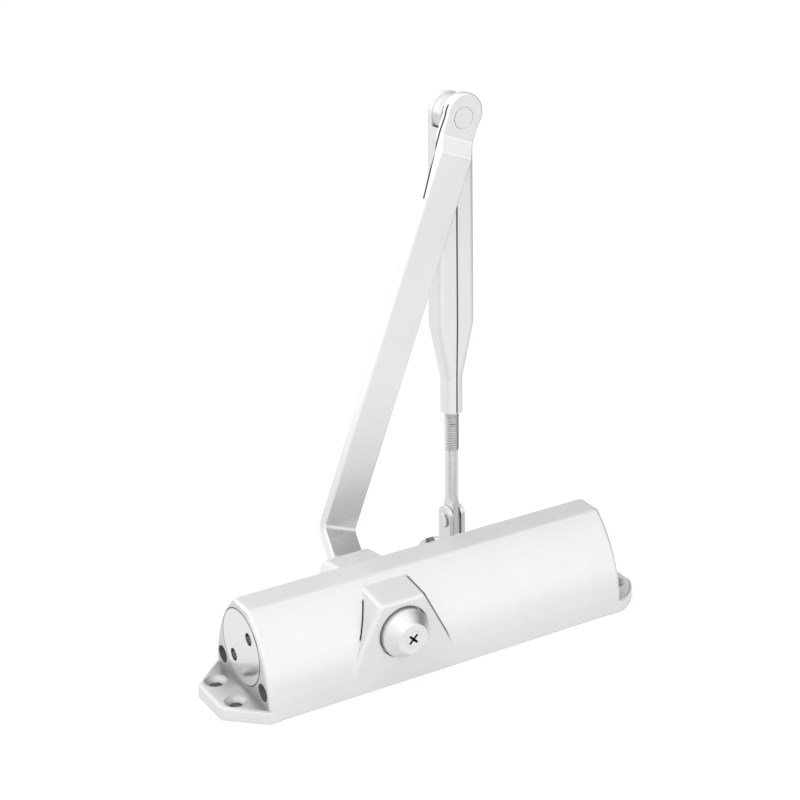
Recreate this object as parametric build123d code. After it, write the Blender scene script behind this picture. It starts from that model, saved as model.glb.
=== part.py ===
import os
from math import acos, atan2, cos, degrees, hypot, pi, radians, sin, sqrt, tan

from build123d import *

# Overhead door closer with a rack-and-pinion body and a folding arm, in millimetres.
# X runs along the body, Y along the pinion from the cap to the arm, and Z away from the mounting face.
# The origin is the middle of the mounting hole pattern, on the mounting face.

# Cast body
body_length = 208.0
body_width = 58.6
body_height = 52.0
top_flat_width = 14.4
straight_side_height = 10.0
side_bow_radius = 63.6
top_edge_round = 3.0
bottom_edge_round = 1.0
end_edge_round = 2.2
axis_height = 28.5

# Feet and mounting holes
foot_reach = 18.5
foot_end_width = 25.6
foot_thickness = 7.0
foot_edge_round = 1.8
foot_corner_round = 3.0
left_foot_bow = 0.2
right_foot_bow = 2.8
foot_overlap = 6.0
mounting_spacing_x = 227.0
mounting_spacing_y = 22.0
mounting_hole_diameter = 6.0
mounting_countersink_diameter = 11.6

# Pinion bosses, one on each side of the body
pinion_x = -29.0
boss_edge_width = 25.6
boss_edge_height = 46.0
boss_side_angle = 27.0
boss_draft_angle = 4.0
boss_top_angle = 8.0
boss_edge_round = 2.4
boss_recess_diameter = 27.8
boss_recess_depth = 3.0

# Cylinder bore and end plugs
bore_diameter = 34.0
plug_diameter = 40.0
plug_thread_length = 12.0
plug_nose_length = 12.0
plug_clearance = 0.05
plug_edge_break = 0.4
spanner_hole_diameter = 6.6
spanner_hole_depth = 5.0
spanner_circle_diameter = 24.2
spanner_line_angle = 136.0
seal_wire_diameter = 3.0
seal_groove_width = 3.6
seal_squeeze_clearance = 0.05

# Regulating valves in the lower corners of the left end
valve_side_distance = 7.6
valve_height = 13.8
valve_mouth_diameter = 9.2
valve_mouth_depth = 5.0
valve_bore_diameter = 6.0
valve_screw_length = 15.6
valve_tip_length = 3.0
valve_tip_diameter = 1.8
valve_tip_entry = 0.3
valve_clearance = 0.06
valve_slot_width = 1.0
valve_slot_depth = 1.6
valve_seal_wire_diameter = 1.4
valve_seal_setback = 6.0
valve_seal_groove_gap = 0.1
passage_diameter = 2.4
chamber_port_x = -78.4
return_port_x = -50.0

# Rack and pinion
gear_module = 2.0
pinion_teeth = 9
pressure_angle = 30.0
tooth_backlash = 0.24
pinion_addendum = 1.7
pinion_dedendum = 2.25
rack_addendum = 1.75
rack_dedendum = 2.1
rack_root_sink = 1.0
gear_width = 18.0
opening_angle = 150.0

# Piston
piston_clearance = 0.05
piston_left_head = 12.0
piston_right_head = 14.0
window_gap = 1.3
window_height_above = 11.8
rack_side_gap = 0.3
check_ball_diameter = 4.8
check_bore_diameter = 6.4
check_bore_depth = 9.0
check_port_diameter = 3.0
check_retainer_thickness = 2.4
check_retainer_port_diameter = 2.6

# Main spring
spring_wire_diameter = 4.6
spring_outer_diameter = 32.0
spring_turns = 10.5
spring_end_gap = 0.05
spring_seat_diameter = 33.0
spring_seat_hole_diameter = 14.0
spring_seat_thickness = 2.5

# Pinion shaft, bearings and seals
journal_diameter = 14.0
bearing_outer_diameter = 20.0
bearing_clearance = 0.04
bearing_cap_diameter = 27.0
bearing_cap_clearance = 0.05
bearing_cap_bore_gap = 0.5
bearing_cap_lip = 0.8
bearing_cap_lip_gap = 0.2
cap_spanner_hole_diameter = 2.6
cap_spanner_hole_depth = 2.0
shaft_seal_wire_diameter = 2.2
shaft_seal_groove_width = 2.4
shaft_seal_clearance = 0.04
shaft_seal_groove_gap = 0.05
square_size = 9.8
square_clearance = 0.05
square_length = 6.6
square_corner_step = 0.5
rear_square_setback = 0.6
front_journal_overhang = 0.9
shaft_thread_diameter = 6.0
shaft_thread_depth = 14.0
thread_clearance = 0.04

# Pinion cap over the front end of the shaft
pinion_cap_base_diameter = 26.0
pinion_cap_face_diameter = 16.0
pinion_cap_base_gap = 0.6
pinion_cap_rim_height = 5.2
pinion_cap_height = 11.5
pinion_cap_face_round = 0.9
pinion_cap_bore_clearance = 0.3
cap_screw_head_diameter = 9.0
cap_screw_diameter = 5.9
cap_screw_head_angle = 90.0
cap_screw_length = 11.0
cap_screw_hole_clearance = 0.1
cap_screw_head_clearance = 0.05
cross_recess_width = 6.2
cross_recess_bar = 1.3
cross_recess_depth = 2.4

# Main arm, leaning to the right at rest
arm_length = 244.1
arm_rest_angle = 69.0
arm_width = 19.8
arm_thickness = 5.5
arm_lower_eye_radius = 10.5
arm_upper_eye_radius = 10.4
arm_upper_eye_reach = 2.3
arm_neck_radius = 12.0
arm_body_gap = 3.2
arm_lower_offset = 16.5
arm_upper_offset = 3.8
arm_lower_bend_start = 12.5
arm_lower_bend_end = 22.6
arm_upper_bend_start = 19.0
arm_upper_bend_end = 10.5
arm_bend_radius = 3.5
arm_edge_round = 0.8
arm_washer_diameter = 16.0
arm_washer_thickness = 1.5
arm_washer_hole_clearance = 0.2
arm_screw_diameter = 5.9
arm_screw_hex = 10.0
arm_screw_head_height = 4.0
arm_screw_length = 11.0

# Elbow
rivet_head_diameter = 11.0
rivet_head_gap = 0.2
rivet_head_depth = 1.9
rivet_shank_diameter = 8.0
rivet_tail_diameter = 12.6
rivet_tail_height = 2.4
rivet_tail_end_diameter = 8.8
rivet_tail_round = 0.8
rivet_running_clearance = 0.06
spacer_diameter = 21.4
spacer_length = 7.9
elbow_side_gap = 0.15
elbow_washer_diameter = 15.0
elbow_washer_thickness = 1.4

# Forearm sleeve, folded from sheet and hanging straight down at rest
sleeve_wall = 2.2
sleeve_top_width = 21.8
sleeve_top_depth = 12.0
sleeve_top_below_elbow = 5.6
sleeve_mid_width = 22.8
sleeve_mid_depth = 13.0
sleeve_mid_below_elbow = 113.4
sleeve_corner_radius = 3.4
sleeve_tube_diameter = 11.6
sleeve_tube_corner_radius = 5.5
sleeve_tube_top_below_elbow = 144.4
sleeve_end_below_elbow = 164.4
sleeve_seam_width = 0.9
sleeve_spacer_gap = 0.6
eye_plate_thickness = 5.6
eye_plate_strap = 17.0
rod_clearance = 0.08

# Adjusting rod, a 5/16 inch rod with 18 threads per inch
rod_thread_diameter = 7.94
rod_thread_pitch = 25.4 / 18
rod_thread_depth = 0.76
rod_thread_sink = 0.12
rod_thread_foot_share = 0.96
rod_thread_crest_share = 0.14
rod_shank_diameter = 7.2
rod_top_below_elbow = 124.4
rod_thread_end_below_elbow = 186.7
rod_flat_thickness = 4.4
rod_flat_radius = 5.6
rod_flat_tail = 6.4
rod_flat_length = 15.0
rod_flat_neck_height = 10.0
rod_flat_neck_width = 8.6
rod_flat_corner = 0.3

# Shoe, hanging from the rod's flattened end
shoe_pivot_below_elbow = 228.9
shoe_pivot_height = 23.0
shoe_plate_length = 50.0
shoe_plate_width = 22.0
shoe_plate_thickness = 3.0
shoe_hole_spacing = 38.0
shoe_hole_diameter = 5.5
shoe_countersink_diameter = 9.6
shoe_ear_gap = 4.8
shoe_ear_thickness = 2.5
shoe_ear_width = 11.4
shoe_ear_above_pivot = 7.6
shoe_ear_corner = 4.6
shoe_ear_flare_width = 16.0
shoe_ear_flare_height = 8.0
shoe_ear_foot_height = 2.0
shoe_rivet_diameter = 5.0
shoe_rivet_head_diameter = 8.2
shoe_rivet_head_height = 1.2
shoe_rivet_head_round = 0.8
shoe_rivet_clearance = 0.06

# How far a cutting or trimming shape runs past what it cuts
trim_allowance = 2.0

# How near a coordinate counts as equal when edges and corners are picked
pick_tolerance = 0.01

# Values that follow from the sizes above
half_length = body_length / 2
half_width = body_width / 2
bore_radius = bore_diameter / 2
pitch_radius = gear_module * pinion_teeth / 2
tooth_pitch = pi * gear_module
piston_travel = pitch_radius * radians(opening_angle)
pinion_tip_radius = pitch_radius + pinion_addendum
piston_window_left = pinion_x - piston_travel - pinion_tip_radius - window_gap
piston_window_right = pinion_x + pinion_tip_radius + window_gap
piston_left = piston_window_left - piston_left_head
piston_right = piston_window_right + piston_right_head
plug_inner_x = half_length - plug_thread_length
plug_nose_x = plug_inner_x - plug_nose_length
plug_nose_radius = bore_radius - plug_clearance
valve_head_x = -half_length + valve_mouth_depth - valve_slot_depth
valve_tip_x = valve_head_x + valve_screw_length
recess_floor_y = half_width - boss_recess_depth
bearing_inner_y = bore_radius + bearing_cap_bore_gap
bearing_outer_y = recess_floor_y - bearing_cap_lip - shaft_seal_groove_width
shaft_seal_outer_diameter = journal_diameter + 2 * (shaft_seal_clearance + shaft_seal_wire_diameter)
shaft_seal_groove_diameter = shaft_seal_outer_diameter + 2 * shaft_seal_groove_gap
front_journal_end = recess_floor_y + front_journal_overhang
valve_y = half_width - valve_side_distance
arm_lower_eye_y = half_width + arm_body_gap
arm_bar_y = arm_lower_eye_y + arm_lower_offset
arm_upper_eye_y = arm_bar_y + arm_upper_offset
elbow_x = pinion_x + arm_length * cos(radians(arm_rest_angle))
elbow_z = axis_height + arm_length * sin(radians(arm_rest_angle))
arm_upper_eye_back = arm_upper_eye_y + arm_thickness
eye_plate_front = arm_upper_eye_back + spacer_length + elbow_side_gap
eye_plate_back = eye_plate_front + eye_plate_thickness
forearm_y = eye_plate_back - sleeve_top_depth / 2
rivet_tail_y = eye_plate_back + elbow_side_gap + elbow_washer_thickness
shoe_pivot_z = elbow_z - shoe_pivot_below_elbow
arm_place = Pos(pinion_x, 0, axis_height) * Rot(0, -arm_rest_angle, 0)


def along_x(diameter, x_start, x_end, y=0.0, z=0.0):
    """Round bar or hole along X between two stations."""
    middle = (x_start + x_end) / 2
    return Pos(middle, y, z) * Rot(0, 90, 0) * Cylinder(diameter / 2, abs(x_end - x_start))


def along_y(diameter, y_start, y_end, x=0.0, z=0.0):
    """Round bar or hole along Y between two stations."""
    middle = (y_start + y_end) / 2
    return Pos(x, middle, z) * Rot(90, 0, 0) * Cylinder(diameter / 2, abs(y_end - y_start))


def cone_along_y(diameter_start, diameter_end, y_start, y_end, x=0.0, z=0.0):
    """Cone along +Y from one station to the next."""
    middle = (y_start + y_end) / 2
    cone = Cone(diameter_start / 2, diameter_end / 2, y_end - y_start)
    return Pos(x, middle, z) * Rot(-90, 0, 0) * cone


def box_between(low, high):
    """Box from its low corner to its high corner."""
    size = [h - l for l, h in zip(low, high)]
    middle = [(l + h) / 2 for l, h in zip(low, high)]
    return Pos(*middle) * Box(*size)


def ring_about_x(wire_diameter, outer_diameter, x, y, z):
    """Round seal ring whose axis is X."""
    mean_radius = (outer_diameter - wire_diameter) / 2
    return Pos(x, y, z) * Rot(0, 90, 0) * Torus(mean_radius, wire_diameter / 2)


# Housing

def body_section():
    """Outline across the body: flat base, short straight sides, bowed sides and a flat top."""
    base = half_width
    top = top_flat_width / 2
    outline = Polyline((-base, straight_side_height), (-base, 0), (base, 0), (base, straight_side_height))
    outline += RadiusArc((base, straight_side_height), (top, body_height), -side_bow_radius)
    outline += Line((top, body_height), (-top, body_height))
    outline += RadiusArc((-top, body_height), (-base, straight_side_height), -side_bow_radius)
    section = make_face(outline)
    top_corners = section.vertices().sort_by(Axis.Y)[-2:]
    section = fillet(top_corners, top_edge_round)
    bottom_corners = section.vertices().sort_by(Axis.Y)[:2]
    return fillet(bottom_corners, bottom_edge_round)


def body_block():
    """The body's full length, with its end faces' edges rounded above the feet."""
    block = extrude(Plane.YZ * body_section(), amount=half_length, both=True)
    end_edges = [
        edge
        for edge in block.edges()
        if abs(edge.center().X) > half_length - pick_tolerance and edge.center().Z > bottom_edge_round
    ]
    return fillet(end_edges, end_edge_round)


def foot(side, bow):
    """One foot, on the side given by -1 or 1, with sloped edges that bow outwards."""
    inner_x = half_length - foot_overlap
    outer_x = half_length + foot_reach
    end_half = foot_end_width / 2
    outline = Polyline(
        (half_length, -half_width),
        (inner_x, -half_width),
        (inner_x, half_width),
        (half_length, half_width),
    )
    outline += SagittaArc((half_length, half_width), (outer_x, end_half), bow)
    outline += Line((outer_x, end_half), (outer_x, -end_half))
    outline += SagittaArc((outer_x, -end_half), (half_length, -half_width), bow)
    plate = extrude(make_face(outline), amount=foot_thickness)
    outer_corners = plate.edges().filter_by(Axis.Z).sort_by(Axis.X)[-2:]
    plate = fillet(outer_corners, foot_corner_round)
    top_edges = [
        edge
        for edge in plate.edges()
        if edge.center().Z > foot_thickness - pick_tolerance and edge.center().X > inner_x + pick_tolerance
    ]
    plate = fillet(top_edges, foot_edge_round)
    return plate if side > 0 else plate.mirror(Plane.YZ)


def boss_pair():
    """Both bosses as one ridge across the body, with sloped tops and with drafted, sloped sides."""
    slope = tan(radians(boss_side_angle))
    ridge_height = boss_edge_height + (half_width - top_flat_width / 2) * tan(radians(boss_top_angle))
    draft = half_width * tan(radians(boss_draft_angle))
    spread = draft / cos(radians(boss_side_angle))
    low_z = -draft - trim_allowance
    high_z = ridge_height + trim_allowance
    low_half = boss_edge_width / 2 + spread + (boss_edge_height - low_z) * slope
    high_half = boss_edge_width / 2 + spread + (boss_edge_height - high_z) * slope
    front = make_face(
        Polyline((-low_half, low_z), (low_half, low_z), (high_half, high_z), (-high_half, high_z), close=True)
    )
    side = make_face(
        Polyline(
            (-half_width, 0),
            (half_width, 0),
            (half_width, boss_edge_height),
            (top_flat_width / 2, ridge_height),
            (-top_flat_width / 2, ridge_height),
            (-half_width, boss_edge_height),
            close=True,
        )
    )
    drafted = extrude(Plane.XZ * front, amount=half_width, taper=boss_draft_angle)
    across = drafted + drafted.mirror(Plane.XZ)
    along = extrude(Plane.YZ * side, amount=low_half, both=True)
    ridge = across & along
    outer_edges = [
        edge
        for edge in ridge.edges()
        if abs(edge.center().Y) > half_width - pick_tolerance
        or (edge.center().Z > pick_tolerance and abs(edge.center().Y) > pick_tolerance)
    ]
    return Pos(pinion_x, 0, 0) * fillet(outer_edges, boss_edge_round)


def mounting_hole(x, y):
    """Countersunk hole down through a foot."""
    hole = Pos(x, y, foot_thickness / 2) * Cylinder(mounting_hole_diameter / 2, foot_thickness * 2)
    sink_depth = (mounting_countersink_diameter - mounting_hole_diameter) / 2
    sink = Cone(mounting_hole_diameter / 2, mounting_countersink_diameter / 2, sink_depth)
    return hole + Pos(x, y, foot_thickness - sink_depth / 2) * sink


def valve_cavity(side):
    """Mouth, threaded bore, oil passage and its two ports for one regulating valve."""
    y = side * valve_y
    mouth_end = -half_length + valve_mouth_depth
    bore_end = valve_tip_x - valve_tip_entry
    cavity = along_x(valve_mouth_diameter, -half_length - trim_allowance, mouth_end, y, valve_height)
    cavity += along_x(valve_bore_diameter, mouth_end, bore_end, y, valve_height)
    cavity += along_x(passage_diameter, bore_end, return_port_x, y, valve_height)
    rise = axis_height - valve_height
    port_length = hypot(y, rise) - bore_radius + trim_allowance
    port_angle = degrees(atan2(rise, -y))
    for x in (chamber_port_x, return_port_x):
        port = Rot(port_angle, 0, 0) * along_y(passage_diameter, 0, port_length)
        cavity += Pos(x, y, valve_height) * port
    return cavity


def housing():
    """Cast body with feet and bosses, its bores and its mounting holes."""
    cast = body_block() + foot(-1, left_foot_bow) + foot(1, right_foot_bow) + boss_pair()
    past_end = half_length + trim_allowance
    past_side = half_width + trim_allowance
    cast -= along_x(bore_diameter, -past_end, past_end, 0, axis_height)
    for side in (-1, 1):
        cast -= along_x(plug_diameter, side * plug_inner_x, side * past_end, 0, axis_height)
        recess = along_y(boss_recess_diameter, side * recess_floor_y, side * past_side, pinion_x, axis_height)
        cast -= recess + along_y(bearing_cap_diameter, side, side * half_width, pinion_x, axis_height)
        cast -= valve_cavity(side)
        for side_y in (-1, 1):
            cast -= mounting_hole(side * mounting_spacing_x / 2, side_y * mounting_spacing_y / 2)
    return cast


# End plugs and their seals

def end_plug(side):
    """Threaded plug with a sealed nose and two blind spanner holes in its outer face."""
    face_x = side * half_length
    step_x = side * plug_inner_x
    nose_x = side * plug_nose_x
    plug = along_x(plug_diameter - 2 * plug_clearance, step_x, face_x)
    rim = plug.edges().filter_by(GeomType.CIRCLE).sort_by(Axis.X)
    plug = chamfer(rim[-1] if side > 0 else rim[0], plug_edge_break)
    plug += along_x(2 * plug_nose_radius, nose_x, step_x)
    groove_bottom = 2 * (bore_radius - seal_wire_diameter - seal_squeeze_clearance)
    groove_x = (nose_x + step_x) / 2
    groove = along_x(bore_diameter, groove_x - seal_groove_width / 2, groove_x + seal_groove_width / 2)
    plug -= groove - along_x(groove_bottom, nose_x, step_x)
    for turn in (0, 180):
        angle = radians(spanner_line_angle + turn)
        y = spanner_circle_diameter / 2 * cos(angle)
        z = spanner_circle_diameter / 2 * sin(angle)
        hole_end = face_x - side * spanner_hole_depth
        plug -= along_x(spanner_hole_diameter, hole_end, face_x + side * trim_allowance, y, z)
    return Pos(0, 0, axis_height) * plug


def plug_seal(side):
    """Seal ring in the groove of an end plug's nose."""
    outer = bore_diameter - seal_squeeze_clearance
    return ring_about_x(seal_wire_diameter, outer, side * (plug_inner_x + plug_nose_x) / 2, 0, axis_height)


# Regulating valves

def valve_screw(side):
    """Slotted needle screw in a lower corner of the left end."""
    y = side * valve_y
    diameter = valve_bore_diameter - 2 * valve_clearance
    head_x = valve_head_x
    shoulder_x = valve_tip_x - valve_tip_length
    screw = along_x(diameter, head_x, shoulder_x)
    tip = Rot(0, 90, 0) * Cone(diameter / 2, valve_tip_diameter / 2, valve_tip_length)
    screw += Pos(shoulder_x + valve_tip_length / 2, 0, 0) * tip
    slot_half = valve_slot_width / 2
    slot_end = head_x + valve_slot_depth
    screw -= box_between((head_x - trim_allowance, -diameter, -slot_half), (slot_end, diameter, slot_half))
    seal_x = head_x + valve_seal_setback
    groove_half = valve_seal_wire_diameter / 2 + valve_seal_groove_gap
    groove_bottom = diameter - 2 * valve_seal_wire_diameter
    groove = along_x(diameter + trim_allowance, seal_x - groove_half, seal_x + groove_half)
    screw -= groove - along_x(groove_bottom, seal_x - trim_allowance, seal_x + trim_allowance)
    return Pos(0, y, valve_height) * screw


def valve_seal(side):
    """Seal ring round a regulating screw."""
    x = valve_head_x + valve_seal_setback
    outer = valve_bore_diameter - 2 * valve_clearance
    return ring_about_x(valve_seal_wire_diameter, outer, x, side * valve_y, valve_height)


# Rack and pinion

def involute(angle):
    """Involute function of an angle in radians."""
    return tan(angle) - angle


def flank_point(radius, side, centre_angle):
    """Point of a tooth's flank at a radius, in the tooth's own angle."""
    alpha = radians(pressure_angle)
    base_radius = pitch_radius * cos(alpha)
    half_at_pitch = pi / (2 * pinion_teeth) - tooth_backlash / (4 * pitch_radius)
    local = acos(min(1.0, base_radius / radius))
    half = half_at_pitch + involute(alpha) - involute(local)
    angle = centre_angle + side * half
    return (radius * cos(angle), radius * sin(angle))


def pinion_section():
    """Outline of the gear, with a gap between teeth straight down."""
    base_radius = pitch_radius * cos(radians(pressure_angle))
    root_radius = pitch_radius - pinion_dedendum
    step = 2 * pi / pinion_teeth
    radii = [base_radius + (pinion_tip_radius - base_radius) * i / 4 for i in range(5)]
    outline = []
    for tooth in range(pinion_teeth):
        centre = -pi / 2 + (tooth + 0.5) * step
        rising = [flank_point(radius, -1, centre) for radius in radii]
        falling = [flank_point(radius, 1, centre) for radius in reversed(radii)]
        half_root = abs(atan2(rising[0][1], rising[0][0]) - centre) % (2 * pi)
        half_root = min(half_root, 2 * pi - half_root)
        root_start = (root_radius * cos(centre - half_root), root_radius * sin(centre - half_root))
        root_end = (root_radius * cos(centre + half_root), root_radius * sin(centre + half_root))
        tip = (pinion_tip_radius * cos(centre), pinion_tip_radius * sin(centre))
        gap_angle = centre + step / 2
        gap = (root_radius * cos(gap_angle), root_radius * sin(gap_angle))
        next_angle = centre + step - half_root
        next_start = (root_radius * cos(next_angle), root_radius * sin(next_angle))
        outline.append(Line(root_start, rising[0]))
        outline.append(Spline(*rising))
        outline.append(ThreePointArc(rising[-1], tip, falling[0]))
        outline.append(Spline(*falling))
        outline.append(Line(falling[-1], root_end))
        outline.append(ThreePointArc(root_end, gap, next_start))
    return make_face(outline)


def square_end(y_start, y_end):
    """Square end of the pinion with its corners turned down to the journal."""
    half = square_size / 2
    bar = box_between((-half, y_start, -half), (half, y_end, half))
    return bar & along_y(journal_diameter - 2 * square_corner_step, y_start, y_end)


def pinion():
    """Gear shaft with journals, a square at each end and a tapped hole in each end."""
    shaft = extrude(Plane.XZ * pinion_section(), amount=gear_width / 2, both=True)
    shaft += along_y(journal_diameter, -front_journal_end, arm_lower_eye_y)
    front_end = -front_journal_end - square_length
    rear_end = arm_lower_eye_y + arm_thickness - rear_square_setback
    shaft += square_end(front_end, -front_journal_end)
    shaft += square_end(arm_lower_eye_y, rear_end)
    shaft -= along_y(shaft_thread_diameter, front_end, front_end + shaft_thread_depth)
    shaft -= along_y(shaft_thread_diameter, rear_end - shaft_thread_depth, rear_end)
    return Pos(pinion_x, 0, axis_height) * shaft


def rack_section():
    """Outline of the rack's teeth, with a tooth under the pinion's middle at rest."""
    slope = tan(radians(pressure_angle))
    half_pitch_width = tooth_pitch / 4 - tooth_backlash / 4
    tip_z = rack_addendum - pitch_radius
    root_z = -rack_dedendum - pitch_radius
    tip_half = half_pitch_width - rack_addendum * slope
    root_half = half_pitch_width + rack_dedendum * slope
    left_limit = piston_window_left - pinion_x
    first = -int((piston_travel + pinion_tip_radius) / tooth_pitch)
    points = [(left_limit - rack_root_sink, root_z)]
    for tooth in range(first, 2):
        centre = tooth * tooth_pitch
        points += [(centre - root_half, root_z), (centre - tip_half, tip_z)]
        points += [(centre + tip_half, tip_z), (centre + root_half, root_z)]
    right_limit = piston_window_right - pinion_x
    base_z = root_z - rack_root_sink
    points += [(right_limit + rack_root_sink, root_z), (right_limit + rack_root_sink, base_z)]
    points += [(left_limit - rack_root_sink, base_z)]
    return make_face(Polyline(*points, close=True))


def piston():
    """Piston with a rack in its window and a check valve bore in its left head."""
    radius = bore_radius - piston_clearance
    body = along_x(2 * radius, piston_left, piston_right)
    root_z = -pitch_radius - rack_dedendum
    rack_half = gear_width / 2 + rack_side_gap
    body -= box_between(
        (piston_window_left, -radius, root_z), (piston_window_right, radius, window_height_above)
    )
    teeth = extrude(Plane.XZ * rack_section(), amount=rack_half, both=True)
    body += Pos(pinion_x, 0, 0) * teeth
    body -= along_x(check_bore_diameter, piston_left - trim_allowance, piston_left + check_bore_depth)
    body -= along_x(check_port_diameter, piston_left, piston_window_left + trim_allowance)
    return Pos(0, 0, axis_height) * body


def check_ball():
    """Ball of the piston's check valve, resting on the edge of its port."""
    radius = check_ball_diameter / 2
    x = piston_left + check_bore_depth - sqrt(radius**2 - (check_port_diameter / 2) ** 2)
    return Pos(x, 0, axis_height) * Sphere(radius)


def check_ball_retainer():
    """Bush that keeps the check ball in its bore."""
    end = piston_left + check_retainer_thickness
    bush = along_x(check_bore_diameter, piston_left, end)
    bush -= along_x(check_retainer_port_diameter, piston_left - trim_allowance, end + trim_allowance)
    return Pos(0, 0, axis_height) * bush


# Main spring

def spring_seat():
    """Washer between the spring and the right plug."""
    seat = along_x(spring_seat_diameter, plug_nose_x - spring_seat_thickness, plug_nose_x)
    seat -= along_x(spring_seat_hole_diameter, 0, half_length)
    return Pos(0, 0, axis_height) * seat


def main_spring():
    """Compression spring with ground ends, between the piston and its seat."""
    start = piston_right + spring_end_gap
    end = plug_nose_x - spring_seat_thickness
    length = end - start
    pitch = length / spring_turns
    mean_radius = (spring_outer_diameter - spring_wire_diameter) / 2
    path = Helix(pitch, length + pitch, mean_radius)
    wire = sweep(Plane(path ^ 0) * Circle(spring_wire_diameter / 2), path=path, is_frenet=True)
    wire = Pos(start - pitch / 2, 0, 0) * Rot(0, 90, 0) * wire
    reach = spring_outer_diameter
    ground = box_between((start, -reach, -reach), (end, reach, reach))
    return Pos(0, 0, axis_height) * (wire & ground)


# Bearings and seals round the pinion

def bearing_cap(side):
    """Threaded cover round the pinion, holding a bearing and a seal, with two spanner holes."""
    outer_y = side * recess_floor_y
    inner_y = side * bearing_inner_y
    pocket_end = side * bearing_outer_y
    groove_end = side * (bearing_outer_y + shaft_seal_groove_width)
    below = inner_y - side * trim_allowance
    above = outer_y + side * trim_allowance
    cap = along_y(bearing_cap_diameter - 2 * bearing_cap_clearance, inner_y, outer_y)
    cap -= along_y(journal_diameter + 2 * bearing_cap_lip_gap, below, above)
    cap -= along_y(bearing_outer_diameter, below, pocket_end)
    cap -= along_y(shaft_seal_groove_diameter, pocket_end, groove_end)
    hole_x = (bearing_cap_diameter + shaft_seal_groove_diameter) / 4
    hole_end = outer_y - side * cap_spanner_hole_depth
    for direction in (-1, 1):
        cap -= along_y(cap_spanner_hole_diameter, hole_end, above, direction * hole_x)
    return Pos(pinion_x, 0, axis_height) * cap


def bearing(side):
    """Plain bearing ring that the pinion turns in."""
    start = side * bearing_inner_y
    end = side * bearing_outer_y
    ring = along_y(bearing_outer_diameter, start, end)
    hole = journal_diameter + 2 * bearing_clearance
    ring -= along_y(hole, start - side * trim_allowance, end + side * trim_allowance)
    return Pos(pinion_x, 0, axis_height) * ring


def shaft_seal(side):
    """Seal ring round the pinion, outside its bearing."""
    y = side * (bearing_outer_y + shaft_seal_groove_width / 2)
    mean_radius = journal_diameter / 2 + shaft_seal_clearance + shaft_seal_wire_diameter / 2
    return Pos(pinion_x, y, axis_height) * Rot(90, 0, 0) * Torus(mean_radius, shaft_seal_wire_diameter / 2)


# Cap over the front end of the pinion

def pinion_cap():
    """Cone-shaped cap with a short straight rim, seated on the pinion's front square."""
    base_y = -recess_floor_y - pinion_cap_base_gap
    rim_y = base_y - pinion_cap_rim_height
    face_y = base_y - pinion_cap_height
    cap = cone_along_y(pinion_cap_face_diameter, pinion_cap_base_diameter, face_y, rim_y)
    face_edge = cap.edges().filter_by(GeomType.CIRCLE).sort_by(Axis.Y)[0]
    cap = fillet(face_edge, pinion_cap_face_round)
    cap += along_y(pinion_cap_base_diameter, rim_y, base_y)
    journal_hole = journal_diameter + 2 * pinion_cap_bore_clearance
    cap -= along_y(journal_hole, -front_journal_end, base_y + trim_allowance)
    socket = square_size + 2 * square_clearance
    socket_end = -front_journal_end - square_length - square_clearance
    cap -= box_between((-socket / 2, socket_end, -socket / 2), (socket / 2, base_y, socket / 2))
    cap -= along_y(cap_screw_diameter + 2 * cap_screw_hole_clearance, face_y - trim_allowance, base_y)
    sink_depth = (cap_screw_head_diameter - cap_screw_diameter) / 2 / tan(radians(cap_screw_head_angle / 2))
    cap -= cone_along_y(cap_screw_head_diameter, cap_screw_diameter, face_y, face_y + sink_depth)
    return Pos(pinion_x, 0, axis_height) * cap


def cap_screw():
    """Countersunk cross-recess screw that holds the cap."""
    face_y = -recess_floor_y - pinion_cap_base_gap - pinion_cap_height
    sink_depth = (cap_screw_head_diameter - cap_screw_diameter) / 2 / tan(radians(cap_screw_head_angle / 2))
    head = cap_screw_head_diameter - 2 * cap_screw_head_clearance
    neck = cap_screw_diameter - 2 * cap_screw_head_clearance
    screw = cone_along_y(head, neck, face_y, face_y + sink_depth)
    shank = shaft_thread_diameter - 2 * thread_clearance
    screw += along_y(shank, face_y + sink_depth / 2, face_y + cap_screw_length)
    for angle in (45, 135):
        bar = box_between(
            (-cross_recess_width / 2, face_y - trim_allowance, -cross_recess_bar / 2),
            (cross_recess_width / 2, face_y + cross_recess_depth, cross_recess_bar / 2),
        )
        screw -= Rot(0, angle, 0) * bar
    return Pos(pinion_x, 0, axis_height) * screw


# Main arm and its fastening

def arm_side_profile():
    """The bar seen edge on, with a deep joggle near the pinion and a shallow one near the elbow."""
    front = FilletPolyline(
        (-arm_lower_eye_radius - trim_allowance, arm_lower_eye_y),
        (arm_lower_bend_start, arm_lower_eye_y),
        (arm_lower_bend_end, arm_bar_y),
        (arm_length - arm_upper_bend_start, arm_bar_y),
        (arm_length - arm_upper_bend_end, arm_upper_eye_y),
        (arm_length + arm_upper_eye_reach + arm_upper_eye_radius + trim_allowance, arm_upper_eye_y),
        radius=arm_bend_radius,
    )
    return make_face(offset(front, amount=arm_thickness, side=Side.LEFT))


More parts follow.
